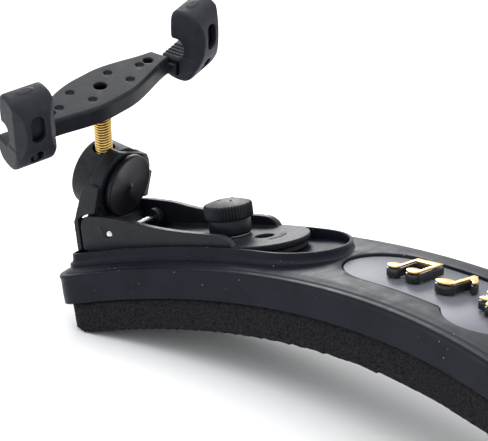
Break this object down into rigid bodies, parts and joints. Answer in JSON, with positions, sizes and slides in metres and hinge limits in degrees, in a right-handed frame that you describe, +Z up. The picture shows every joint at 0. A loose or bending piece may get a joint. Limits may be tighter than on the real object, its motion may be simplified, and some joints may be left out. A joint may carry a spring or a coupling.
{
  "type": "violin shoulder rest",
  "caption": "Arched shoulder rest with a foam pad and, at each end, a folding, swivelling, height-adjustable fork with rubber claws.",
  "frame": {"origin": "bottom centre of the bounding box, on the surface the foam stands on", "axes": "+X along the base from the left end to the right end, +Y the way the base bows, +Z up from the foam to the forks"},
  "size_m": [0.2248, 0.0776, 0.0727],
  "materials": {
    "shell_plastic": "satin black-blue moulded plastic",
    "foam": "fine open-cell charcoal foam",
    "plate_gloss": "glossy grey plate",
    "ornament_black": "black moulded sides",
    "gold_foil": "gold foil face",
    "nylon": "grained black nylon",
    "rubber": "soft matte rubber",
    "pad_rubber": "matte rubber",
    "brass": "turned brass",
    "steel": "bright steel",
    "cap_plastic": "turned black plastic face"
  },
  "bodies": {
    "base": {"base_shell": "shell_plastic", "foam_pad": "foam", "name_plate": "plate_gloss", "ornament_1": "ornament_black", "ornament_2": "ornament_black", "ornament_3": "ornament_black", "ornament_4": "ornament_black", "ornament_5": "ornament_black", "ornament_face_1": "gold_foil", "ornament_face_2": "gold_foil", "ornament_face_3": "gold_foil", "ornament_face_4": "gold_foil", "ornament_face_5": "gold_foil", "left_foot": "nylon", "left_slide_pad": "pad_rubber", "left_hinge_pin": "steel", "left_floor_insert": "brass", "right_foot": "nylon", "right_slide_pad": "pad_rubber", "right_hinge_pin": "steel", "right_floor_insert": "brass"},
    "left_leg_body": {"left_leg": "nylon", "left_drum_axle": "cap_plastic"},
    "left_drum_body": {"left_drum": "nylon", "left_stud_bush": "brass"},
    "left_stud_body": {"left_fork_stud": "brass"},
    "left_fork_body": {"left_fork_bar": "nylon", "left_near_boot": "rubber", "left_far_boot": "rubber"},
    "left_screw_body": {"left_thumb_shank": "steel", "left_thumb_washer": "steel"},
    "left_knob_body": {"left_thumb_knob": "nylon"},
    "right_leg_body": {"right_leg": "nylon", "right_drum_axle": "cap_plastic"},
    "right_drum_body": {"right_drum": "nylon", "right_stud_bush": "brass"},
    "right_stud_body": {"right_fork_stud": "brass"},
    "right_fork_body": {"right_fork_bar": "nylon", "right_near_boot": "rubber", "right_far_boot": "rubber"},
    "right_screw_body": {"right_thumb_shank": "steel", "right_thumb_washer": "steel"},
    "right_knob_body": {"right_thumb_knob": "nylon"}
  },
  "joints": [
    {"name": "left_leg_fold", "type": "hinge", "parent": "base", "child": "left_leg_body", "pos_m": [-0.09603, -0.00056, 0.02128], "axis": [-0.3598, 0.933, 0], "range_deg": [0, 58]},
    {"name": "left_drum_swivel", "type": "hinge", "parent": "left_leg_body", "child": "left_drum_body", "pos_m": [-0.09483, -0.0001, 0.02938], "axis": [0.9214, 0.3553, -0.1576], "range_deg": [-39.7, 4.3]},
    {"name": "left_fork_height", "type": "slide", "parent": "left_drum_body", "child": "left_stud_body", "axis": [0.2495, -0.2296, 0.9408], "range_m": [-0.0049, 0.0056]},
    {"name": "left_fork_turn", "type": "hinge", "parent": "left_stud_body", "child": "left_fork_body", "pos_m": [-0.10478, -0.00393, 0.03109], "axis": [0.2495, -0.2296, 0.9408], "range_deg": [-2525, 2885]},
    {"name": "left_screw_rise", "type": "slide", "parent": "base", "child": "left_screw_body", "axis": [-0.1929, -0.0744, 0.9784], "range_m": [0, 0.0021]},
    {"name": "left_knob_turn", "type": "hinge", "parent": "left_screw_body", "child": "left_knob_body", "pos_m": [-0.07166, 0.00884, 0.02486], "axis": [-0.1929, -0.0744, 0.9784], "range_deg": [0, 1085]},
    {"name": "right_leg_fold", "type": "hinge", "parent": "base", "child": "right_leg_body", "pos_m": [0.09603, -0.00056, 0.02128], "axis": [-0.3598, -0.933, 0], "range_deg": [0, 58]},
    {"name": "right_drum_swivel", "type": "hinge", "parent": "right_leg_body", "child": "right_drum_body", "pos_m": [0.09483, -0.0001, 0.02938], "axis": [0.9214, -0.3553, 0.1576], "range_deg": [-39.7, 4.3]},
    {"name": "right_fork_height", "type": "slide", "parent": "right_drum_body", "child": "right_stud_body", "axis": [-0.2495, -0.2296, 0.9408], "range_m": [-0.0049, 0.0056]},
    {"name": "right_fork_turn", "type": "hinge", "parent": "right_stud_body", "child": "right_fork_body", "pos_m": [0.10478, -0.00393, 0.03109], "axis": [-0.2495, -0.2296, 0.9408], "range_deg": [-2525, 2885]},
    {"name": "right_screw_rise", "type": "slide", "parent": "base", "child": "right_screw_body", "axis": [0.1929, -0.0744, 0.9784], "range_m": [0, 0.0021]},
    {"name": "right_knob_turn", "type": "hinge", "parent": "right_screw_body", "child": "right_knob_body", "pos_m": [0.07166, 0.00884, 0.02486], "axis": [0.1929, -0.0744, 0.9784], "range_deg": [0, 1085]}
  ],
  "couplings": [
    {"joint": "left_fork_turn", "follows": "left_fork_height", "rad_per_m": 8976},
    {"joint": "left_knob_turn", "follows": "left_screw_rise", "rad_per_m": 8976},
    {"joint": "right_fork_turn", "follows": "right_fork_height", "rad_per_m": 8976},
    {"joint": "right_knob_turn", "follows": "right_screw_rise", "rad_per_m": 8976}
  ]
}
